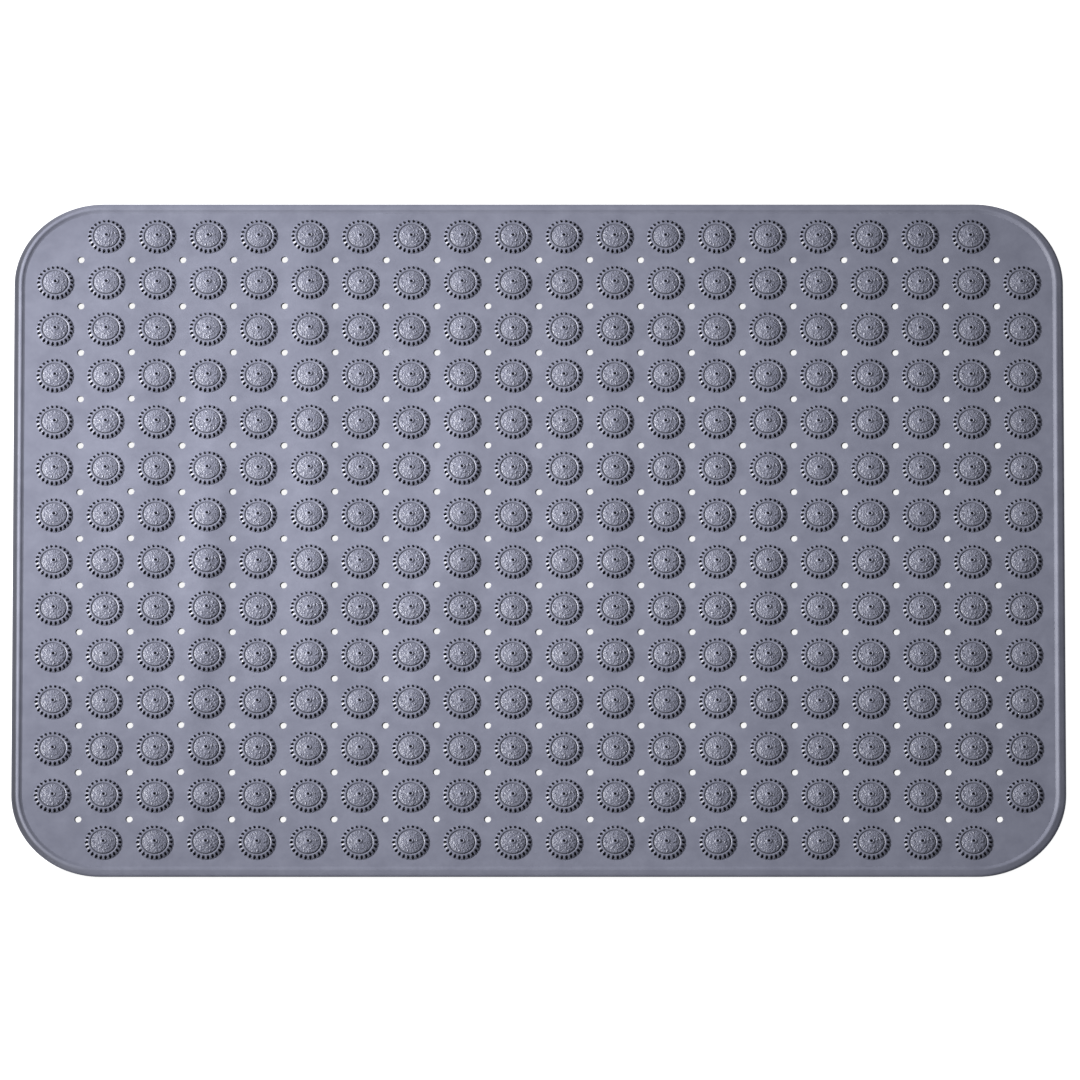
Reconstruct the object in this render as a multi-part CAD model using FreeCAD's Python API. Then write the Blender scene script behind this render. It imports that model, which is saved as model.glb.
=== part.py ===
"""Anti fatigue mat: a one-piece rubber moulding with a perforated sheet, a raised edge bead,
rows of domed massage studs on top and a suction cup under every stud.

The frame is +Z up, with X along the mat's long side and the front edge on the -Y side. The
origin is on the floor, under the middle of the mat. All sizes are in millimetres. The moulding
is divided at its natural borders into closed solids that meet face to face, one STEP file for
each node.
"""

import FreeCAD
import Part
import math
import os

# Plan of the mat
MAT_LENGTH = 1000.0
MAT_WIDTH = 700.0
CORNER_RADIUS = 85.0

# Square grid of studs, with a suction cup under each and a drain hole amid each four
COLUMNS = 20
ROWS = 14
PITCH = 48.5
DRAIN_HOLE_RADIUS = 2.8

# Heights above the floor
SHEET_BOTTOM = 6.0
SHEET_THICKNESS = 2.0
SHEET_TOP = SHEET_BOTTOM + SHEET_THICKNESS

# Edge bead: a rounded rim that stands above the sheet and hangs a little below it
BEAD_WIDTH = 10.0
BEAD_BOTTOM = 5.2
BEAD_TOP = 9.8
BEAD_CREST_INSET = 5.6
BEAD_SHOULDER_INSET = 0.8
BEAD_SHOULDER_TOP = 8.3
BEAD_UNDERSIDE_INSET = 7.5

# Stud: a ring-shaped ridge that rises gently from its foot, a groove inside it, a domed cap and
# a small nub with a hole in it on the cap's top. The heights are above the sheet, and the cap is
# part of a sphere.
STUD_RADIUS = 17.9
RIDGE_RADIUS = 13.4
RIDGE_HEIGHT = 2.4
GROOVE_RADIUS = 12.1
GROOVE_HEIGHT = 1.7
CAP_RADIUS = 11.4
CAP_RIM_HEIGHT = 2.6
CAP_CROWN_HEIGHT = 4.5
NUB_RADIUS = 3.2
NUB_LIP_RADIUS = 2.2
NUB_LIP_HEIGHT = 5.2
NUB_HOLE_RADIUS = 1.5
NUB_HOLE_FLOOR = 3.0

# Suction cup: a stem that flares to a flat lip, hollow below
STEM_RADIUS = 7.0
STEM_FOOT_RADIUS = 7.6
STEM_FOOT_HEIGHT = 4.6
LIP_RADIUS = 15.4
LIP_WIDTH = 1.2
LIP_TOP_RADIUS = 15.0
LIP_TOP_HEIGHT = 0.9
HOLLOW_HEIGHT = 3.4

PARTS = "parts"
UP = FreeCAD.Vector(0, 0, 1)


def polar(radius, degrees, z=0.0):
    """The point at a radius and an angle about the Z axis."""
    angle = math.radians(degrees)
    return FreeCAD.Vector(radius * math.cos(angle), radius * math.sin(angle), z)


def arc(start, middle, end):
    """The edge of a circular arc through three points."""
    return Part.Arc(start, middle, end).toShape()


def line(start, end):
    return Part.LineSegment(start, end).toShape()


def circle(radius, x, y, z):
    return Part.Wire([Part.Circle(FreeCAD.Vector(x, y, z), UP, radius).toShape()])


def rounded_rectangle(length, width, radius, z):
    """A closed wire: four sides joined by four quarter circles."""
    corners = [(1, 1, 0), (-1, 1, 90), (-1, -1, 180), (1, -1, 270)]
    arcs = []
    for side_x, side_y, start in corners:
        centre = FreeCAD.Vector(side_x * (length / 2 - radius), side_y * (width / 2 - radius), z)
        arcs.append([centre + polar(radius, start + turn) for turn in (0, 45, 90)])
    edges = []
    for index, points in enumerate(arcs):
        following = arcs[(index + 1) % len(arcs)]
        edges.append(arc(*points))
        edges.append(line(points[2], following[0]))
    return Part.Wire(edges)


def grid(columns, rows):
    """The centres of a grid at the studs' pitch about the origin, as one list for each row."""
    return [
        [
            ((column - (columns - 1) / 2) * PITCH, (row - (rows - 1) / 2) * PITCH)
            for column in range(columns)
        ]
        for row in range(rows)
    ]


def stud_rows():
    """The stud centres row by row from the front, without the four at the mat's corners."""
    rows = grid(COLUMNS, ROWS)
    for row in (0, ROWS - 1):
        rows[row] = rows[row][1:-1]
    return rows


def make_sheet():
    """The thin sheet inside the edge bead, with all of its drain holes."""
    outline = rounded_rectangle(
        MAT_LENGTH - 2 * BEAD_WIDTH,
        MAT_WIDTH - 2 * BEAD_WIDTH,
        CORNER_RADIUS - BEAD_WIDTH,
        SHEET_BOTTOM,
    )
    holes = [
        circle(DRAIN_HOLE_RADIUS, x, y, SHEET_BOTTOM)
        for row in grid(COLUMNS - 1, ROWS - 1)
        for x, y in row
    ]
    face = Part.makeFace([outline, *holes], "Part::FaceMakerBullseye")
    return face.extrude(UP * SHEET_THICKNESS)


def bead_profile(across):
    """The bead's section. across gives the point that lies a distance in from the mat's edge."""
    inner_bottom = across(BEAD_WIDTH, SHEET_BOTTOM)
    inner_top = across(BEAD_WIDTH, SHEET_TOP)
    crest = across(BEAD_CREST_INSET, BEAD_TOP)
    shoulder = across(BEAD_SHOULDER_INSET, BEAD_SHOULDER_TOP)
    bulge = across(0.0, (BEAD_SHOULDER_TOP + BEAD_BOTTOM) / 2)
    outer_bottom = across(BEAD_SHOULDER_INSET, BEAD_BOTTOM)
    underside = across(BEAD_UNDERSIDE_INSET, BEAD_BOTTOM)
    return Part.Face(
        Part.Wire(
            [
                line(inner_bottom, inner_top),
                arc(inner_top, crest, shoulder),
                arc(shoulder, bulge, outer_bottom),
                line(outer_bottom, underside),
                line(underside, inner_bottom),
            ]
        )
    )


def make_bead_side(turn, run, offset):
    """A straight bead: run long, its outer face offset from the middle, turned about Z."""
    profile = bead_profile(lambda inset, z: FreeCAD.Vector(offset - inset, -run / 2, z))
    side = profile.extrude(FreeCAD.Vector(0, run, 0))
    side.rotate(FreeCAD.Vector(0, 0, 0), UP, turn)
    return side


def make_bead_corner(side_x, side_y, start):
    """A quarter turn of the bead about the centre of one of the mat's corners."""
    centre = FreeCAD.Vector(
        side_x * (MAT_LENGTH / 2 - CORNER_RADIUS), side_y * (MAT_WIDTH / 2 - CORNER_RADIUS), 0
    )
    profile = bead_profile(lambda inset, z: centre + polar(CORNER_RADIUS - inset, start, z))
    return profile.revolve(centre, UP, 90)


def make_edge_bead():
    """The eight lengths of the edge bead, by node name."""
    long_run = MAT_LENGTH - 2 * CORNER_RADIUS
    short_run = MAT_WIDTH - 2 * CORNER_RADIUS
    return {
        "edge_bead_right": make_bead_side(0, short_run, MAT_LENGTH / 2),
        "edge_bead_back": make_bead_side(90, long_run, MAT_WIDTH / 2),
        "edge_bead_left": make_bead_side(180, short_run, MAT_LENGTH / 2),
        "edge_bead_front": make_bead_side(270, long_run, MAT_WIDTH / 2),
        "corner_bead_back_right": make_bead_corner(1, 1, 0),
        "corner_bead_back_left": make_bead_corner(-1, 1, 90),
        "corner_bead_front_left": make_bead_corner(-1, -1, 180),
        "corner_bead_front_right": make_bead_corner(1, -1, 270),
    }


def sphere_height(radius, rim_radius, rim, crown):
    """The height, at a radius, of a spherical cap that runs from its rim up to its crown."""
    rise = crown - rim
    sphere_radius = (rim_radius**2 + rise**2) / (2 * rise)
    return crown - sphere_radius + math.sqrt(sphere_radius**2 - radius**2)


def sphere_arc(at, rim_radius, rim, crown, end_radius=0.0):
    """The arc up a spherical cap from its rim to an end radius, by default its middle."""
    radii = (rim_radius, (rim_radius + end_radius) / 2, end_radius)
    return arc(*[at(radius, sphere_height(radius, rim_radius, rim, crown)) for radius in radii])


def turned(edges):
    """The solid made by turning a closed profile about the Z axis."""
    return Part.Face(Part.Wire(edges)).revolve(FreeCAD.Vector(0, 0, 0), UP, 360)


def make_stud():
    """One massage stud, standing on the sheet over the origin."""

    def at(radius, height):
        return FreeCAD.Vector(radius, 0, SHEET_TOP + height)

    nub_foot_height = sphere_height(NUB_RADIUS, CAP_RADIUS, CAP_RIM_HEIGHT, CAP_CROWN_HEIGHT)
    base_edge = at(STUD_RADIUS, 0)
    flank = at(16.5, 1.62)
    ridge = at(RIDGE_RADIUS, RIDGE_HEIGHT)
    inner_slope = at(12.85, 2.2)
    groove = at(GROOVE_RADIUS, GROOVE_HEIGHT)
    nub_foot = at(NUB_RADIUS, nub_foot_height)
    nub_flank = at(2.6, 4.95)
    nub_lip = at(NUB_LIP_RADIUS, NUB_LIP_HEIGHT)
    hole_mouth = at(NUB_HOLE_RADIUS, NUB_LIP_HEIGHT - 0.2)
    hole_edge = at(NUB_HOLE_RADIUS, NUB_HOLE_FLOOR)
    hole_middle = at(0, NUB_HOLE_FLOOR)
    return turned(
        [
            line(at(0, 0), base_edge),
            arc(base_edge, flank, ridge),
            arc(ridge, inner_slope, groove),
            line(groove, at(CAP_RADIUS, CAP_RIM_HEIGHT)),
            sphere_arc(at, CAP_RADIUS, CAP_RIM_HEIGHT, CAP_CROWN_HEIGHT, NUB_RADIUS),
            arc(nub_foot, nub_flank, nub_lip),
            line(nub_lip, hole_mouth),
            line(hole_mouth, hole_edge),
            line(hole_edge, hole_middle),
            line(hole_middle, at(0, 0)),
        ]
    )


def make_suction_cup():
    """One suction cup, hanging from the sheet over the origin, with its lip on the floor."""

    def at(radius, z):
        return FreeCAD.Vector(radius, 0, z)

    stem_middle = at(0, SHEET_BOTTOM)
    stem_edge = at(STEM_RADIUS, SHEET_BOTTOM)
    stem_foot = at(STEM_FOOT_RADIUS, STEM_FOOT_HEIGHT)
    skirt = at(11.2, 2.45)
    lip_top = at(LIP_TOP_RADIUS, LIP_TOP_HEIGHT)
    lip_outer = at(LIP_RADIUS, 0)
    hollow_radius = LIP_RADIUS - LIP_WIDTH
    return turned(
        [
            line(stem_middle, stem_edge),
            line(stem_edge, stem_foot),
            arc(stem_foot, skirt, lip_top),
            line(lip_top, lip_outer),
            line(lip_outer, at(hollow_radius, 0)),
            sphere_arc(at, hollow_radius, 0, HOLLOW_HEIGHT),
            line(at(0, HOLLOW_HEIGHT), stem_middle),
        ]
    )


def repeat(solid, centres):
    """Copies of a solid at each centre, as one shape of separate solids."""
    return Part.makeCompound([solid.translated(FreeCAD.Vector(x, y, 0)) for x, y in centres])


def export(name, shape):
    """Writes one node, after testing that all its solids are whole."""
    for solid in shape.Solids:
        if not solid.isValid() or solid.Volume <= 0:
            raise ValueError(f"{name} holds a solid that isn't whole")
    shape.exportStep(os.path.join(PARTS, name + ".step"))
    print(f"{name}: {len(shape.Solids)} solids, {shape.Volume / 1000:.1f} cm3")


def main():
    os.makedirs(PARTS, exist_ok=True)
    export("mat_sheet", make_sheet())
    for name, shape in make_edge_bead().items():
        export(name, shape)
    stud = make_stud()
    cup = make_suction_cup()
    for number, centres in enumerate(stud_rows(), 1):
        export(f"dome_row_{number:02d}", repeat(stud, centres))
        export(f"suction_cup_row_{number:02d}", repeat(cup, centres))


main()
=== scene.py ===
import math
import random

import bpy
import numpy as np
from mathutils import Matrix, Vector, noise
from mathutils.geometry import delaunay_2d_cdt


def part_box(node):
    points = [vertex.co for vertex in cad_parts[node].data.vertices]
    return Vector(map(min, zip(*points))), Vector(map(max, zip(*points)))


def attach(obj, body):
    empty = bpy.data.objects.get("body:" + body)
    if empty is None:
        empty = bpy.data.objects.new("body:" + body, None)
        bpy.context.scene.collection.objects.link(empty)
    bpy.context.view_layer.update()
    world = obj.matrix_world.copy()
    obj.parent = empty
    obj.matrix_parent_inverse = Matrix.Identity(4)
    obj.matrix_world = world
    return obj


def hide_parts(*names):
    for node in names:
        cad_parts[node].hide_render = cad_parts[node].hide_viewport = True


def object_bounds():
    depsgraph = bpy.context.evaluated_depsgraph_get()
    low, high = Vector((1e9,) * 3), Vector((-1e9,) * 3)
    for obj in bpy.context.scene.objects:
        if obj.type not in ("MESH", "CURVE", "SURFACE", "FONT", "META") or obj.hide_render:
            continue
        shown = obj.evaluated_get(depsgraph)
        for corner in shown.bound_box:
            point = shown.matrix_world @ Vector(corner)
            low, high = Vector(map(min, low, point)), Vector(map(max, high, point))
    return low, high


# The looks of a one-piece rubber mat. Places and sizes come from the CAD frame. Lengths are in
# metres, except for the bead's section, the stud and the cup, which are in millimetres.

MM = 0.001
ROW_COUNT = 14
ROWS = [f"{number:02d}" for number in range(1, ROW_COUNT + 1)]
BEAD_NODES = [f"edge_bead_{side}" for side in ("front", "back", "left", "right")] + [
    f"corner_bead_{corner}" for corner in ("front_left", "front_right", "back_left", "back_right")
]

# The angle between two faces above which their shared edge looks sharp
SHARP_ANGLE = math.radians(50)

# Drain hole: its rim is rounded on top, an apron of points surrounds it, and it leans as it
# goes down. The lean fades out over a short reach round the hole.
DRAIN_HOLE_RADIUS = 3.15 * MM
HOLE_SIDES = 28
HOLE_RIM_ROUND = 0.22 * MM
# Painted shade on the holes' rims and down their walls
HOLE_RIM_SHADE = 0.8
HOLE_APRON = 0.5 * MM
HOLE_LEAN = (0.8 * MM, 0.35 * MM)
HOLE_LEAN_REACH = 1.1 * MM

# Sheet: it ends inside the bead. The loose points let it bend, and keep clear of its edge, its
# corners, its holes' rims and its studs' middles by these distances.
SHEET_INSET = 9.5 * MM
LOOSE_POINT_SPACING = 12 * MM
CLEAR_OF_EDGE = 16 * MM
CLEAR_OF_CORNER = 14 * MM
CLEAR_OF_HOLE = 2 * MM
CLEAR_OF_STUD = 19 * MM
PLAN_TOLERANCE = 1e-7

# Edge bead, as (distance in from the edge, height above the floor, painted shade), with the lengths
# in millimetres. The painted shade lies in the crease at its foot, down its outer flank and under
# it. Away from the mat's left end only a small share of that painted shade shows.
BEAD_SECTION = [
    (10.8, 7.6, 0.0),
    (10.3, 8.0, 0.15),
    (9.8, 8.13, 0.1),
    (9.2, 8.4, 0.0),
    (8.5, 8.82, 0.0),
    (7.9, 9.24, 0.0),
    (7.4, 9.57, 0.0),
    (6.9, 9.76, 0.0),
    (6.4, 9.8, 0.0),
    (5.7, 9.66, 0.0),
    (5.0, 9.42, 0.05),
    (4.4, 9.2, 0.4),
    (3.8, 9.0, 0.8),
    (2.9, 8.72, 0.88),
    (2.0, 8.38, 0.88),
    (1.2, 7.98, 0.85),
    (0.55, 7.4, 0.8),
    (0.1, 6.5, 0.7),
    (0.8, 5.35, 0.5),
    (2.0, 5.25, 0.2),
    (7.5, 5.25, 0.0),
    (9.0, 5.7, 0.0),
    (10.8, 6.3, 0.0),
]
LEAST_BEAD_PAINTED_SHADE = 0.05
CORNER_RADIUS = 85 * MM
CORNER_STEPS = 28
SIDE_STEP = 15 * MM

# Stud: a band of pits that rises to a ridge, a groove inside it, a pebbled cap and a nub with a
# hole in its middle. The sheet is open under each stud, so that the pits can go below its top.
PITS = 22
PIT_RING_RADIUS = 15.8
PIT_HALF_WIDTH = 1.35
PIT_HALF_LENGTH = 1.65
PIT_FLOOR = -1.2
# Where points lie round the ring, measured from the middle of each pit
PIT_POINTS = [-1.4, -0.98, 0.0, 0.98, 1.4, 2.27]
STUD_OPENING_RADIUS = 17.45
STUD_OPENING_SIDES = 66
# The part of a stud below the sheet's top is a little wider than the opening that it fills
STUD_OVERLAP = 0.1
STUD_UNDERSIDE = -1.95
STUD_SHOULDER = -0.3
# (radius, height above the sheet) from the foot of the stud in to the groove
RING_PROFILE = [
    (18.0, -0.12),
    (17.75, 0.3),
    (17.4, 0.68),
    (17.0, 1.02),
    (16.5, 1.36),
    (15.8, 1.72),
    (15.1, 2.0),
    (14.5, 2.2),
    (14.0, 2.32),
    (13.6, 2.38),
    (13.25, 2.34),
    (12.9, 2.2),
    (12.6, 1.98),
    (12.25, 1.6),
]
# The cap is part of a sphere, with a steep side down to the groove
CAP_SIDE = [
    (12.0, 1.6),
    (11.7, 2.45),
]
CAP_RIM_RADIUS = 11.3
CAP_RIM_HEIGHT = 2.66
CAP_CROWN_HEIGHT = 4.5
CAP_RING_STEP = 0.5
# Inside this radius the rings of the stud have half as many points
CAP_HALVING_RADIUS = 7.4
# (radius, height above the sheet) of the nub from its foot up to its lip and down its hole
NUB_PROFILE = [
    (3.3, 4.38),
    (2.95, 4.6),
    (2.65, 4.98),
    (2.35, 5.26),
    (2.05, 5.34),
    (1.7, 5.26),
    (1.4, 5.05),
    (1.3, 3.6),
    (0.8, 2.8),
]
NUB_HOLE_RADIUS = 1.35
# Painted shade in the nub's hole
NUB_HOLE_SHADE = 0.85
NUB_HOLE_FLOOR = 2.7
# A ring of shallow oval marks on the cap
OVAL_MARKS = 11
OVAL_MARK_RADIUS = 8.9
OVAL_MARK_HALF_WIDTH = 0.9
OVAL_MARK_DEPTH = 0.16
# Pebbles: a fixed noise whose folds are the creases, darkened with painted shade. They fade out
# towards both radii.
PEBBLE_HEIGHT = 0.6
PEBBLE_SCALE = 0.62
PEBBLE_SWELL = 2.2
PEBBLE_SINK = 0.45
FINER_SCALE = 2
FINER_SHARE = 0.5
PEBBLE_INNER = 3.5
PEBBLE_OUTER = 11.6
PEBBLE_FADE = 0.8
CREASE_SHADE = 0.9
CREASE_WIDTH = 0.45
CREASE_FALL = 3
# Painted shade in the groove round the cap
GROOVE_RADIUS = 12.0
GROOVE_HALF_WIDTH = 0.4
GROOVE_SHADE = 0.85
# How many different caps there are, and how far apart they lie in the noise
CAP_KINDS = 8
CAP_KIND_SPACING = 7.3

# Suction cup, as (radius, height above the floor) in millimetres, from its hollow out and up
CUP_SIDES = 44
CUP_SECTION = [
    (2.5, 3.35),
    (5.0, 3.0),
    (7.5, 2.48),
    (10.0, 1.75),
    (12.2, 0.92),
    (13.6, 0.3),
    (14.2, 0.0),
    (15.2, 0.0),
    (15.38, 0.3),
    (15.0, 0.9),
    (13.4, 1.45),
    (11.2, 2.45),
    (9.2, 3.5),
    (7.9, 4.5),
    (7.2, 5.3),
    (7.3, 6.2),
]
CUP_HOLLOW_TOP = 3.4
CUP_TOP = 6.2

# Soft waves left in the sheet by rolling it up, as (crest, lean, half width, height, middle):
# where the crest lies along the length, how it leans from front to back, its half width, its
# height and where it is highest from front to back. All but the height, which is in metres,
# are shares of the mat's length or width.
WAVES = [
    (-0.385, -0.03, 0.022, 1.6 * MM, 0.10),
    (-0.315, 0.05, 0.020, 2.3 * MM, -0.10),
    (-0.205, -0.04, 0.024, 2.0 * MM, 0.15),
    (-0.085, 0.06, 0.026, 2.2 * MM, -0.05),
    (0.06, -0.03, 0.034, 1.2 * MM, 0.10),
    (0.21, 0.04, 0.036, 1.0 * MM, -0.15),
]
WAVE_REACH = 0.42
# Each crest also wanders from side to side on its way, and the waves fade out near the edge
CREST_WANDER = 0.006
CREST_WANDER_RATE = 9
WAVE_EDGE_FADE = 0.05

RUBBER_DARK = (0.186, 0.192, 0.252, 1)
RUBBER_LIGHT = (0.224, 0.231, 0.298, 1)
RUBBER_IOR = 1.5
# Painted shade: mixed into the base colour and the roughness by each point's shade attribute
PAINTED_SHADE_COLOR = (0.022, 0.023, 0.03, 1)
PAINTED_SHADE_ROUGHNESS = 0.95
# Noise scales, from broad mottling through smears of sheen to a fine grain
MOTTLE_SCALE = 55.0
MOTTLE_RANGE = (0.32, 0.68)
SMEAR_SCALE = 160.0
GRAIN_SCALE = 2200.0

WHITE = (1, 1, 1, 1)
FLOOR_SIZE = 200
FLOOR_GAP = 0.0002
FLOOR_GREY = (0.5, 0.5, 0.5, 1)
FLOOR_GLOW = 0.94
SURROUND_TINT = (0.95, 0.97, 1, 1)
SURROUND_STRENGTH = 0.23

# Key light: its target is measured from the mat's middle
KEY_PLACE = (-2.4, 0.5, 1.75)
KEY_TARGET = (-0.08, 0.06, 0)
KEY_SIZE = 0.55
KEY_SPREAD = math.radians(37)
KEY_POWER = 7.9

# Camera: its aim is measured from the mat's middle, on top of the sheet. The lens and the
# sensor are in millimetres, and the frame's width is a share of the mat's length.
CAMERA_ELEVATION = math.radians(66)
CAMERA_LENS = 1200
CAMERA_SENSOR = 36
CAMERA_AIM = (1.2 * MM, -1.4 * MM)
FRAME_WIDTH = 1.0266
CLIP_START = 0.1

SEED = 20

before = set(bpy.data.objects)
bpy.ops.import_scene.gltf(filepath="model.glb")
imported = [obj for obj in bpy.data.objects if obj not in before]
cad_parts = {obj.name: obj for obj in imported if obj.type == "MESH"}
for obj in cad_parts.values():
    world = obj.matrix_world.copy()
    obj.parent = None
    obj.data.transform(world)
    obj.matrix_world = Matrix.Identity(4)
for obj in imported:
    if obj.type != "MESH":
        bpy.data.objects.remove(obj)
cad_low, cad_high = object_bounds()
mat_size = cad_high - cad_low
mat_middle = (cad_low + cad_high) / 2


def span(node):
    """A CAD node's lowest corner, highest corner and middle."""
    low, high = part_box(node)
    return low, high, (low + high) / 2


def clamp(value, low, high):
    """A value kept between two limits."""
    return min(max(value, low), high)


def read_grid():
    """The pitch, the sheet's heights and each row's stud centres, all read from the frame."""
    sheet_low, sheet_high, _ = span("mat_sheet")
    spans = [span(f"dome_row_{row}") for row in ROWS]
    pitch = (spans[-1][2].y - spans[0][2].y) / (len(ROWS) - 1)
    rows = []
    for low, high, middle in spans:
        diameter = high.y - low.y
        count = round((high.x - low.x - diameter) / pitch) + 1
        first = middle.x - (count - 1) / 2 * pitch
        rows.append([(first + index * pitch, middle.y) for index in range(count)])
    return pitch, sheet_low.z, sheet_high.z, rows


PITCH, SHEET_BOTTOM, SHEET_TOP, STUD_ROWS = read_grid()
# The first and last rows have no stud at their ends, so the second stands for all the columns
FULL_ROW = STUD_ROWS[1]
STUD_CENTRES = [centre for row in STUD_ROWS for centre in row]
# A hole lies in the middle of each square of four stud places
HOLE_CENTRES = [
    (x + PITCH / 2, row[0][1] + PITCH / 2) for row in STUD_ROWS[:-1] for x, _ in FULL_ROW[:-1]
]


def lift(x, y):
    """How far the sheet's waves raise a point, as an array. It fades to nothing at the edges."""
    along = (x - mat_middle.x) / mat_size.x
    across = (y - mat_middle.y) / mat_size.y
    total = np.zeros_like(along)
    for crest, lean, half_width, height, middle in WAVES:
        wander = CREST_WANDER * np.sin(CREST_WANDER_RATE * across)
        offset = (along - crest - lean * across - wander) / half_width
        envelope = np.exp(-(((across - middle) / WAVE_REACH) ** 2))
        total += height * envelope * np.exp(-(offset**2))
    edge = np.minimum(0.5 - np.abs(along), (0.5 - np.abs(across)) * mat_size.y / mat_size.x)
    return total * np.clip(edge / WAVE_EDGE_FADE, 0, 1)


def make_piece(name, points, faces, material, replaced, shade=None):
    """A smooth-shaded piece, raised with the sheet's waves. shade is each point's painted shade."""
    points = np.array(points, float)
    points[:, 2] += lift(points[:, 0], points[:, 1])
    mesh = bpy.data.meshes.new(name)
    mesh.from_pydata(points.tolist(), [], faces)
    mesh.polygons.foreach_set("use_smooth", [True] * len(mesh.polygons))
    mesh.materials.append(material)
    mesh.set_sharp_from_angle(angle=SHARP_ANGLE)
    # Painted shade, stored per point for the material to darken
    if shade:
        attribute = mesh.attributes.new("shade", "FLOAT", "POINT")
        attribute.data.foreach_set("value", shade)
    mesh.update()
    piece = bpy.data.objects.new(name, mesh)
    bpy.context.scene.collection.objects.link(piece)
    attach(piece, "root")
    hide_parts(*replaced)


# ---- Materials -------------------------------------------------------------------------------


def add(nodes, kind, **inputs):
    """A shader node with some of its inputs set."""
    node = nodes.new(kind)
    for name, value in inputs.items():
        node.inputs[name].default_value = value
    return node


def rubber(name, grain, sheen_low, sheen_high):
    """Moulded rubber: mottled colour, uneven sheen, a fine grain, and painted shade, dark and dull,
    in its hollows and on the bead.
    """
    material = bpy.data.materials.new(name)
    material.use_nodes = True
    nodes = material.node_tree.nodes
    links = material.node_tree.links
    shader = nodes["Principled BSDF"]
    shader.inputs["IOR"].default_value = RUBBER_IOR
    place = nodes.new("ShaderNodeTexCoord")

    mottle = add(nodes, "ShaderNodeTexNoise", Scale=MOTTLE_SCALE, Detail=4.0, Roughness=0.6)
    links.new(place.outputs["Object"], mottle.inputs["Vector"])
    tone = nodes.new("ShaderNodeValToRGB")
    stops = zip(tone.color_ramp.elements, MOTTLE_RANGE, (RUBBER_DARK, RUBBER_LIGHT))
    for stop, position, color in stops:
        stop.position = position
        stop.color = color
    links.new(mottle.outputs["Fac"], tone.inputs["Fac"])
    hollow = nodes.new("ShaderNodeAttribute")
    hollow.attribute_name = "shade"
    # Painted shade: the shade attribute mixes a near-black colour into the base colour
    painted_shade = nodes.new("ShaderNodeMix")
    painted_shade.data_type = "RGBA"
    painted_shade.inputs["B"].default_value = PAINTED_SHADE_COLOR
    links.new(hollow.outputs["Fac"], painted_shade.inputs["Factor"])
    links.new(tone.outputs["Color"], painted_shade.inputs["A"])
    links.new(painted_shade.outputs["Result"], shader.inputs["Base Color"])

    smear = add(nodes, "ShaderNodeTexNoise", Scale=SMEAR_SCALE, Detail=3.0)
    links.new(place.outputs["Object"], smear.inputs["Vector"])
    sheen = add(nodes, "ShaderNodeMapRange")
    sheen.inputs["To Min"].default_value = sheen_low
    sheen.inputs["To Max"].default_value = sheen_high
    links.new(smear.outputs["Fac"], sheen.inputs["Value"])
    dull = nodes.new("ShaderNodeMix")
    dull.data_type = "FLOAT"
    dull.inputs["B"].default_value = PAINTED_SHADE_ROUGHNESS
    links.new(hollow.outputs["Fac"], dull.inputs["Factor"])
    links.new(sheen.outputs["Result"], dull.inputs["A"])
    links.new(dull.outputs["Result"], shader.inputs["Roughness"])

    fine = add(nodes, "ShaderNodeTexNoise", Scale=GRAIN_SCALE, Detail=3.0, Roughness=0.6)
    links.new(place.outputs["Object"], fine.inputs["Vector"])
    bump = add(nodes, "ShaderNodeBump", Strength=1.0, Distance=grain)
    links.new(fine.outputs["Fac"], bump.inputs["Height"])
    links.new(bump.outputs["Normal"], shader.inputs["Normal"])
    return material


# ---- Sheet -----------------------------------------------------------------------------------


def ring_points(x, y, radius, count):
    """Points evenly round a circle."""
    turns = [2 * math.pi * step / count for step in range(count)]
    return [(x + radius * math.cos(turn), y + radius * math.sin(turn)) for turn in turns]


def edge_path(inset):
    """Points all the way round the mat's rounded outline, a distance in from its edge."""
    half_x = mat_size.x / 2 - CORNER_RADIUS
    half_y = mat_size.y / 2 - CORNER_RADIUS
    radius = CORNER_RADIUS - inset
    corners = [(1, 1), (-1, 1), (-1, -1), (1, -1)]
    runs = [2 * half_x, 2 * half_y, 2 * half_x, 2 * half_y]
    path = []
    for quarter, ((side_x, side_y), run) in enumerate(zip(corners, runs)):
        centre_x = mat_middle.x + side_x * half_x
        centre_y = mat_middle.y + side_y * half_y
        for step in range(CORNER_STEPS + 1):
            turn = math.pi / 2 * (quarter + step / CORNER_STEPS)
            out = (math.cos(turn), math.sin(turn))
            path.append((centre_x + radius * out[0], centre_y + radius * out[1]))
        last_x, last_y = path[-1]
        pieces = round(run / SIDE_STEP)
        for step in range(1, pieces):
            along = run * step / pieces
            path.append((last_x - along * math.sin(turn), last_y + along * math.cos(turn)))
    return path


def hole_distance(x, y):
    """How far a point is from the nearest hole's middle."""
    first_x, first_y = HOLE_CENTRES[0]
    column = clamp(round((x - first_x) / PITCH), 0, len(FULL_ROW) - 2)
    row = clamp(round((y - first_y) / PITCH), 0, len(STUD_ROWS) - 2)
    return math.hypot(x - (first_x + column * PITCH), y - (first_y + row * PITCH))


def underside(x, y):
    """Where a point lies on the underside. The holes lean a little as they go down."""
    past_rim = hole_distance(x, y) - DRAIN_HOLE_RADIUS
    share = clamp(1 - past_rim / HOLE_LEAN_REACH, 0, 1)
    return x + share * HOLE_LEAN[0], y + share * HOLE_LEAN[1]


def stud_distance(x, y):
    """How far a point is from the nearest stud's middle."""
    row = clamp(round((y - STUD_ROWS[0][0][1]) / PITCH), 0, len(STUD_ROWS) - 1)
    first_x, row_y = STUD_ROWS[row][0]
    column = clamp(round((x - first_x) / PITCH), 0, len(STUD_ROWS[row]) - 1)
    return math.hypot(x - first_x - column * PITCH, y - row_y)


def loop_edges(start, count):
    """The edges of a closed loop of points, by their places in the list."""
    return [(start + step, start + (step + 1) % count) for step in range(count)]


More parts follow.
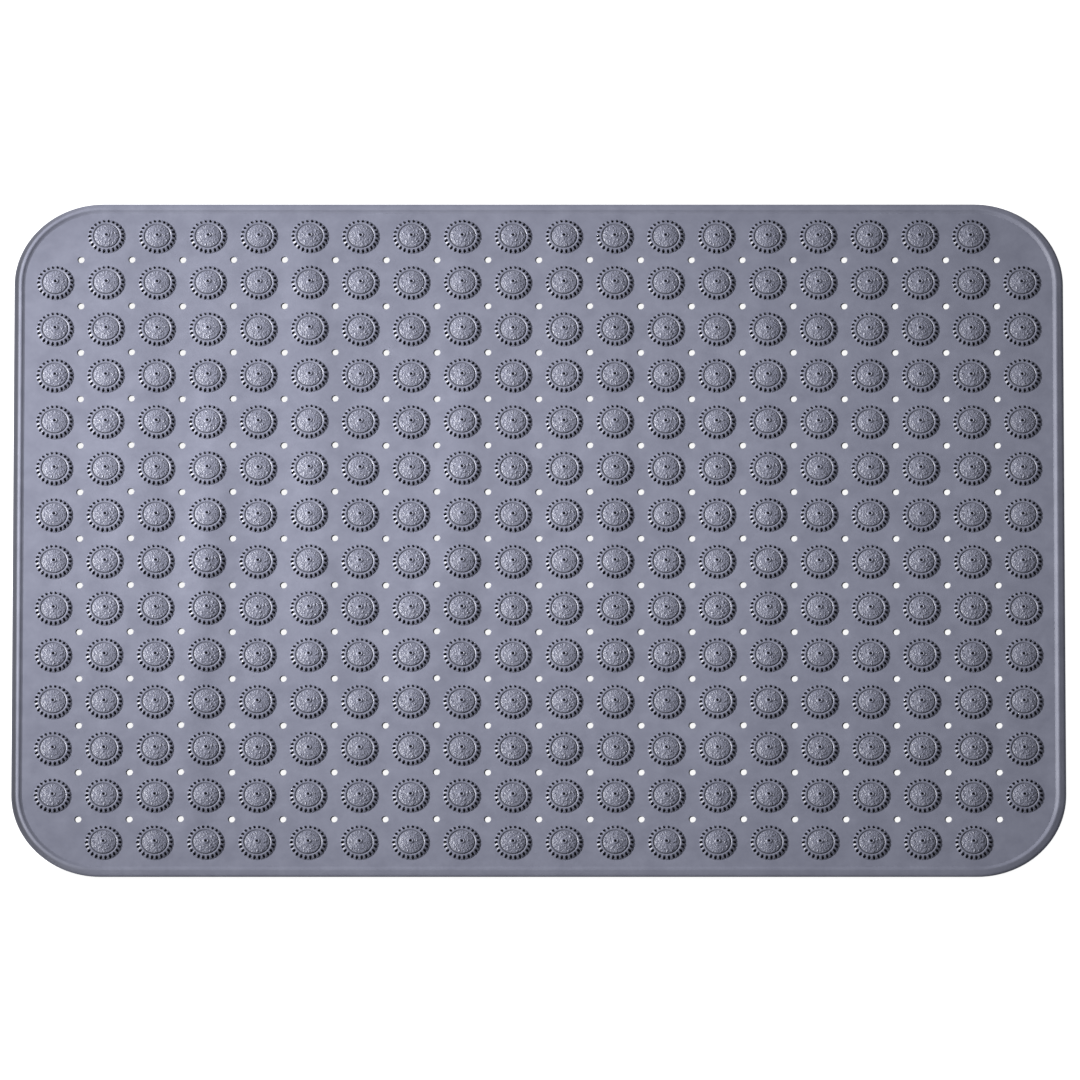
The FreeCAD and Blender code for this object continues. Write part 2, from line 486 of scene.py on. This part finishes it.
def loose_points():
    """A grid of points over the sheet that keep clear of its edge, its holes and its studs."""
    points = []
    half_x = mat_size.x / 2 - CLEAR_OF_EDGE
    half_y = mat_size.y / 2 - CLEAR_OF_EDGE
    for x in np.linspace(-half_x, half_x, round(2 * half_x / LOOSE_POINT_SPACING)):
        for y in np.linspace(-half_y, half_y, round(2 * half_y / LOOSE_POINT_SPACING)):
            past_x = max(abs(x) - (mat_size.x / 2 - CORNER_RADIUS), 0)
            past_y = max(abs(y) - (mat_size.y / 2 - CORNER_RADIUS), 0)
            inside = math.hypot(past_x, past_y) < CORNER_RADIUS - CLEAR_OF_CORNER
            place = (mat_middle.x + x, mat_middle.y + y)
            clear_of_hole = hole_distance(*place) > DRAIN_HOLE_RADIUS + CLEAR_OF_HOLE
            if inside and clear_of_hole and stud_distance(*place) > CLEAR_OF_STUD:
                points.append(place)
    return points


def sheet_plan():
    """The sheet's plan: its outline, its holes, its openings under the studs and loose points."""
    points = edge_path(SHEET_INSET)
    edges = loop_edges(0, len(points))
    for x, y in HOLE_CENTRES:
        edges += loop_edges(len(points), HOLE_SIDES)
        for out in (0, HOLE_RIM_ROUND, HOLE_RIM_ROUND + HOLE_APRON):
            points += ring_points(x, y, DRAIN_HOLE_RADIUS + out, HOLE_SIDES)
    for x, y in STUD_CENTRES:
        edges += loop_edges(len(points), STUD_OPENING_SIDES)
        points += ring_points(x, y, STUD_OPENING_RADIUS * MM, STUD_OPENING_SIDES)
    return points + loose_points(), edges


def make_sheet(material):
    """The perforated sheet, with its holes' upper rims rounded."""
    points, edges = sheet_plan()
    corners = [Vector(point) for point in points]
    plan, _, triangles, *_ = delaunay_2d_cdt(corners, edges, [], 0, PLAN_TOLERANCE)
    kept = []
    for triangle in triangles:
        x = sum(plan[corner].x for corner in triangle) / 3
        y = sum(plan[corner].y for corner in triangle) / 3
        in_stud = stud_distance(x, y) <= STUD_OPENING_RADIUS * MM
        if hole_distance(x, y) > DRAIN_HOLE_RADIUS and not in_stud:
            kept.append(triangle)
    used = sorted({corner for triangle in kept for corner in triangle})
    index = {corner: place for place, corner in enumerate(used)}
    kept = [tuple(index[corner] for corner in triangle) for triangle in kept]
    top = []
    bottom = []
    rim_shade = []
    for corner in used:
        x, y = plan[corner]
        past_rim = hole_distance(x, y) - DRAIN_HOLE_RADIUS
        rim = max(1 - past_rim / HOLE_RIM_ROUND, 0)
        top.append((x, y, SHEET_TOP - HOLE_RIM_ROUND * rim))
        bottom.append((*underside(x, y), SHEET_BOTTOM))
        rim_shade.append(rim)
    count = len(top)
    faces = list(kept)
    faces += [(c + count, b + count, a + count) for a, b, c in kept]
    # The walls of the edge, the holes and the openings: each side that only one triangle has
    directed = {(t[i], t[(i + 1) % 3]) for t in kept for i in range(3)}
    for start, end in sorted(directed):
        if (end, start) not in directed:
            faces.append((end, start, start + count, end + count))
    # Painted shade: some on the holes' top rims and full on their underside rims, so it darkens the
    # walls
    shade = [HOLE_RIM_SHADE * rim for rim in rim_shade] + rim_shade
    make_piece("mat_web", top + bottom, faces, material, ["mat_sheet"], shade)


# ---- Edge bead -------------------------------------------------------------------------------


def bead_shade_share(x):
    """The share of the bead's painted shade that shows at a place along the mat's length."""
    left_end = mat_middle.x - mat_size.x / 2 + CORNER_RADIUS
    share = clamp((left_end - x) / CORNER_RADIUS, 0, 1)
    return LEAST_BEAD_PAINTED_SHADE + (1 - LEAST_BEAD_PAINTED_SHADE) * share


def make_bead(material):
    """One continuous bead round the edge, from its section swept along the outline."""
    loops = [edge_path(inset * MM) for inset, *_ in BEAD_SECTION]
    length = len(loops[0])
    points = []
    shade = []
    for loop, (_, height, dark) in zip(loops, BEAD_SECTION):
        points += [(x, y, height * MM) for x, y in loop]
        # Painted shade on the bead, strongest at the mat's left end
        shade += [dark * bead_shade_share(x) for x, _ in loop]
    faces = []
    sides = len(BEAD_SECTION)
    for side in range(sides):
        here = side * length
        there = (side + 1) % sides * length
        for step in range(length):
            after = (step + 1) % length
            faces.append((here + step, there + step, there + after, here + after))
    make_piece("edge_bead", points, faces, material, BEAD_NODES, shade)


# ---- Studs and cups --------------------------------------------------------------------------


def strip(outer, outer_count, inner, inner_count):
    """Faces between two rings of points, with as many or half as many on the inner one."""
    faces = []
    if outer_count == inner_count:
        for step in range(outer_count):
            after = (step + 1) % outer_count
            faces.append((outer + step, outer + after, inner + after, inner + step))
        return faces
    for step in range(inner_count):
        after = (step + 1) % inner_count
        middle = outer + 2 * step + 1
        last = outer + (2 * step + 2) % outer_count
        faces.append((outer + 2 * step, middle, inner + step))
        faces.append((middle, inner + after, inner + step))
        faces.append((middle, last, inner + after))
    return faces


def ring_turns():
    """The angles of the points round the pit ring, closer together at each pit's wall."""
    turns = []
    for pit in range(PITS):
        for offset in PIT_POINTS:
            turns.append(2 * math.pi * pit / PITS + offset / PIT_RING_RADIUS)
    return turns


def pit_depth(radius, offset):
    """1 inside a pit and 0 outside it, for a radius and a distance round the ring."""
    past = math.hypot(offset / PIT_HALF_WIDTH, (radius - PIT_RING_RADIUS) / PIT_HALF_LENGTH)
    return 1.0 if past < 1 else 0.0


def groove_shade(radius):
    """The painted shade in the groove round the cap, for a radius."""
    return GROOVE_SHADE * math.exp(-(((radius - GROOVE_RADIUS) / GROOVE_HALF_WIDTH) ** 2))


def cap_texture(radius, turn, noise_place):
    """The uneven height of the cap, pebbled and with oval marks, and the shade of its creases."""
    place = Vector((radius * math.cos(turn), radius * math.sin(turn), noise_place))
    place = place * PEBBLE_SCALE
    swell = abs(noise.noise(place))
    finer = noise.noise(place * FINER_SCALE)
    pebbles = PEBBLE_SWELL * swell - PEBBLE_SINK + FINER_SHARE * finer
    near = math.exp(-(((radius - OVAL_MARK_RADIUS) / OVAL_MARK_HALF_WIDTH) ** 2))
    mark = near * max(math.cos(OVAL_MARKS * turn), 0) ** 2
    from_ends = min(radius - PEBBLE_INNER, PEBBLE_OUTER - radius)
    fade = clamp(from_ends / PEBBLE_FADE, 0, 1)
    # Painted shade in the creases between the pebbles
    crease = max(CREASE_WIDTH - CREASE_FALL * swell, 0)
    return fade * (PEBBLE_HEIGHT * pebbles - OVAL_MARK_DEPTH * mark), fade * CREASE_SHADE * crease


def cap_profile():
    """The cap from the groove in to the foot of the nub, as two lists of (radius, height)."""
    rise = CAP_CROWN_HEIGHT - CAP_RIM_HEIGHT
    sphere = (CAP_RIM_RADIUS**2 + rise**2) / (2 * rise)
    # The last ring stays at least half a step out from the foot of the nub
    steps = math.ceil((CAP_RIM_RADIUS - NUB_PROFILE[0][0]) / CAP_RING_STEP - 0.5)
    radii = [CAP_RIM_RADIUS - step * CAP_RING_STEP for step in range(steps)]
    crown = CAP_CROWN_HEIGHT - sphere
    curve = [(radius, crown + math.sqrt(sphere**2 - radius**2)) for radius in radii]
    outer = CAP_SIDE + [place for place in curve if place[0] > CAP_HALVING_RADIUS]
    inner = [place for place in curve if place[0] <= CAP_HALVING_RADIUS]
    return outer, inner


def stud_template(noise_place):
    """One stud's points in millimetres, its faces and each point's shade."""
    points = []
    rings = []
    shade = []
    dense = ring_turns()
    even = [dense[0] + 2 * math.pi * step / len(dense) for step in range(len(dense))]
    offsets = PIT_POINTS * PITS
    plug = STUD_OPENING_RADIUS + STUD_OVERLAP
    for radius, height in [(plug, STUD_UNDERSIDE), (plug, STUD_SHOULDER)] + RING_PROFILE:
        rings.append((len(points), len(dense)))
        for turn, offset in zip(dense, offsets):
            deep = pit_depth(radius, offset)
            top = height * (1 - deep) + PIT_FLOOR * deep
            points.append((radius * math.cos(turn), radius * math.sin(turn), top))
            # Painted shade: full in the pits, and in the groove round the cap
            shade.append(max(deep, groove_shade(radius)))
    outer_cap, inner_cap = cap_profile()
    for profile, turns in ((outer_cap, even), (inner_cap + NUB_PROFILE, even[::2])):
        for radius, height in profile:
            rings.append((len(points), len(turns)))
            for turn in turns:
                relief, crease = cap_texture(radius, turn, noise_place)
                points.append((radius * math.cos(turn), radius * math.sin(turn), height + relief))
                # Painted shade: dark in the nub's hole, otherwise in the cap's creases and the
                # groove
                in_hole = radius < NUB_HOLE_RADIUS
                shade.append(NUB_HOLE_SHADE if in_hole else max(crease, groove_shade(radius)))
    faces = []
    for outer, inner in zip(rings, rings[1:]):
        faces += strip(*outer, *inner)
    last, count = rings[-1]
    faces += [(last + s, last + (s + 1) % count, len(points)) for s in range(count)]
    points.append((0, 0, NUB_HOLE_FLOOR))
    shade.append(NUB_HOLE_SHADE)
    faces.append(tuple(reversed(range(len(dense)))))
    return np.array(points), faces, shade


def make_studs(row, centres, material, templates, choose):
    """One row of studs, each with one of a few reliefs on its cap."""
    points = []
    faces = []
    shade = []
    for x, y in centres:
        stud, stud_faces, stud_shade = choose.choice(templates)
        start = len(points)
        points += (stud * MM + np.array([x, y, SHEET_TOP])).tolist()
        faces += [tuple(start + corner for corner in face) for face in stud_faces]
        shade += stud_shade
    name = f"domes_row_{row}"
    make_piece(name, points, faces, material, [f"dome_row_{row}"], shade)


def make_cups(row, centres, material):
    """One row of suction cups."""
    turns = [2 * math.pi * step / CUP_SIDES for step in range(CUP_SIDES)]
    cup = [(r * math.cos(t), r * math.sin(t), z) for r, z in CUP_SECTION for t in turns]
    hollow_top = len(cup)
    cup_top = hollow_top + 1
    cup += [(0, 0, CUP_HOLLOW_TOP), (0, 0, CUP_TOP)]
    cup = np.array(cup) * MM
    cup_faces = []
    for ring in range(len(CUP_SECTION) - 1):
        cup_faces += strip(ring * CUP_SIDES, CUP_SIDES, (ring + 1) * CUP_SIDES, CUP_SIDES)
    last = (len(CUP_SECTION) - 1) * CUP_SIDES
    for step in range(CUP_SIDES):
        after = (step + 1) % CUP_SIDES
        cup_faces.append((after, step, hollow_top))
        cup_faces.append((last + step, last + after, cup_top))
    points = []
    faces = []
    for x, y in centres:
        start = len(points)
        points += (cup + np.array([x, y, 0])).tolist()
        faces += [tuple(start + corner for corner in face) for face in cup_faces]
    name = f"cups_row_{row}"
    make_piece(name, points, faces, material, [f"suction_cup_row_{row}"])


# ---- Floor, light and camera -----------------------------------------------------------------


def camera_only(tree, shown, lighting):
    """Mixes two shaders: one that the camera sees, and one that lights the object."""
    path = tree.nodes.new("ShaderNodeLightPath")
    mix = tree.nodes.new("ShaderNodeMixShader")
    tree.links.new(path.outputs["Is Camera Ray"], mix.inputs["Fac"])
    tree.links.new(lighting.outputs[0], mix.inputs[1])
    tree.links.new(shown.outputs[0], mix.inputs[2])
    return mix


def make_floor():
    """A plain white floor. Its glow is for the camera only, and it reflects light as grey."""
    floor_height = cad_low.z - FLOOR_GAP
    bpy.ops.mesh.primitive_plane_add(size=FLOOR_SIZE, location=(0, 0, floor_height))
    floor = bpy.context.object
    floor.name = "floor"
    material = bpy.data.materials.new("floor_white")
    material.use_nodes = True
    tree = material.node_tree
    tree.nodes.remove(tree.nodes["Principled BSDF"])
    paper = add(tree.nodes, "ShaderNodeBsdfDiffuse", Color=FLOOR_GREY)
    glow = add(tree.nodes, "ShaderNodeEmission", Color=WHITE, Strength=FLOOR_GLOW)
    both = tree.nodes.new("ShaderNodeAddShader")
    tree.links.new(paper.outputs[0], both.inputs[0])
    tree.links.new(glow.outputs[0], both.inputs[1])
    mix = camera_only(tree, both, paper)
    tree.links.new(mix.outputs[0], tree.nodes["Material Output"].inputs["Surface"])
    floor.data.materials.append(material)


def make_world():
    """A white surround that lights the object only weakly."""
    world = bpy.data.worlds.new("studio")
    bpy.context.scene.world = world
    world.use_nodes = True
    tree = world.node_tree
    shown = tree.nodes["Background"]
    shown.inputs["Color"].default_value = WHITE
    shown.inputs["Strength"].default_value = 1.0
    dim = add(
        tree.nodes, "ShaderNodeBackground", Color=SURROUND_TINT, Strength=SURROUND_STRENGTH
    )
    mix = camera_only(tree, shown, dim)
    tree.links.new(mix.outputs[0], tree.nodes["World Output"].inputs["Surface"])


def make_key_light():
    """A square area light with a narrow beam, high up on the mat's left."""
    lamp = bpy.data.lights.new("key", "AREA")
    lamp.size = KEY_SIZE
    lamp.spread = KEY_SPREAD
    lamp.energy = KEY_POWER
    light = bpy.data.objects.new("key", lamp)
    bpy.context.scene.collection.objects.link(light)
    light.location = KEY_PLACE
    aim = mat_middle + Vector(KEY_TARGET) - light.location
    light.rotation_euler = aim.to_track_quat("-Z", "Y").to_euler()


def make_camera():
    """A long lens above the front edge, so that the outline keeps its sides parallel."""
    camera = bpy.data.cameras.new("camera")
    camera.lens = CAMERA_LENS
    camera.sensor_width = CAMERA_SENSOR
    distance = FRAME_WIDTH * mat_size.x * CAMERA_LENS / CAMERA_SENSOR
    camera.clip_start = CLIP_START
    camera.clip_end = 4 * distance
    holder = bpy.data.objects.new("camera", camera)
    bpy.context.scene.collection.objects.link(holder)
    back = Vector((0, -math.cos(CAMERA_ELEVATION), math.sin(CAMERA_ELEVATION)))
    aim_x, aim_y = CAMERA_AIM
    aim = Vector((mat_middle.x + aim_x, mat_middle.y + aim_y, SHEET_TOP))
    holder.location = aim + back * distance
    holder.rotation_euler = (-back).to_track_quat("-Z", "Y").to_euler()
    bpy.context.scene.camera = holder


# ---- The whole scene -------------------------------------------------------------------------

top_rubber = rubber("top_rubber", grain=0.12 * MM, sheen_low=0.25, sheen_high=0.39)
bead_rubber = rubber("bead_rubber", grain=0.12 * MM, sheen_low=0.5, sheen_high=0.62)
cup_rubber = rubber("cup_rubber", grain=0.05 * MM, sheen_low=0.24, sheen_high=0.36)

make_sheet(top_rubber)
make_bead(bead_rubber)
chance = random.Random(SEED)
stud_templates = [stud_template(CAP_KIND_SPACING * number) for number in range(CAP_KINDS)]
for row_name, row_centres in zip(ROWS, STUD_ROWS):
    make_studs(row_name, row_centres, top_rubber, stud_templates, chance)
    make_cups(row_name, row_centres, cup_rubber)

make_floor()
make_world()
make_key_light()
make_camera()
bpy.context.scene.view_settings.view_transform = "Standard"
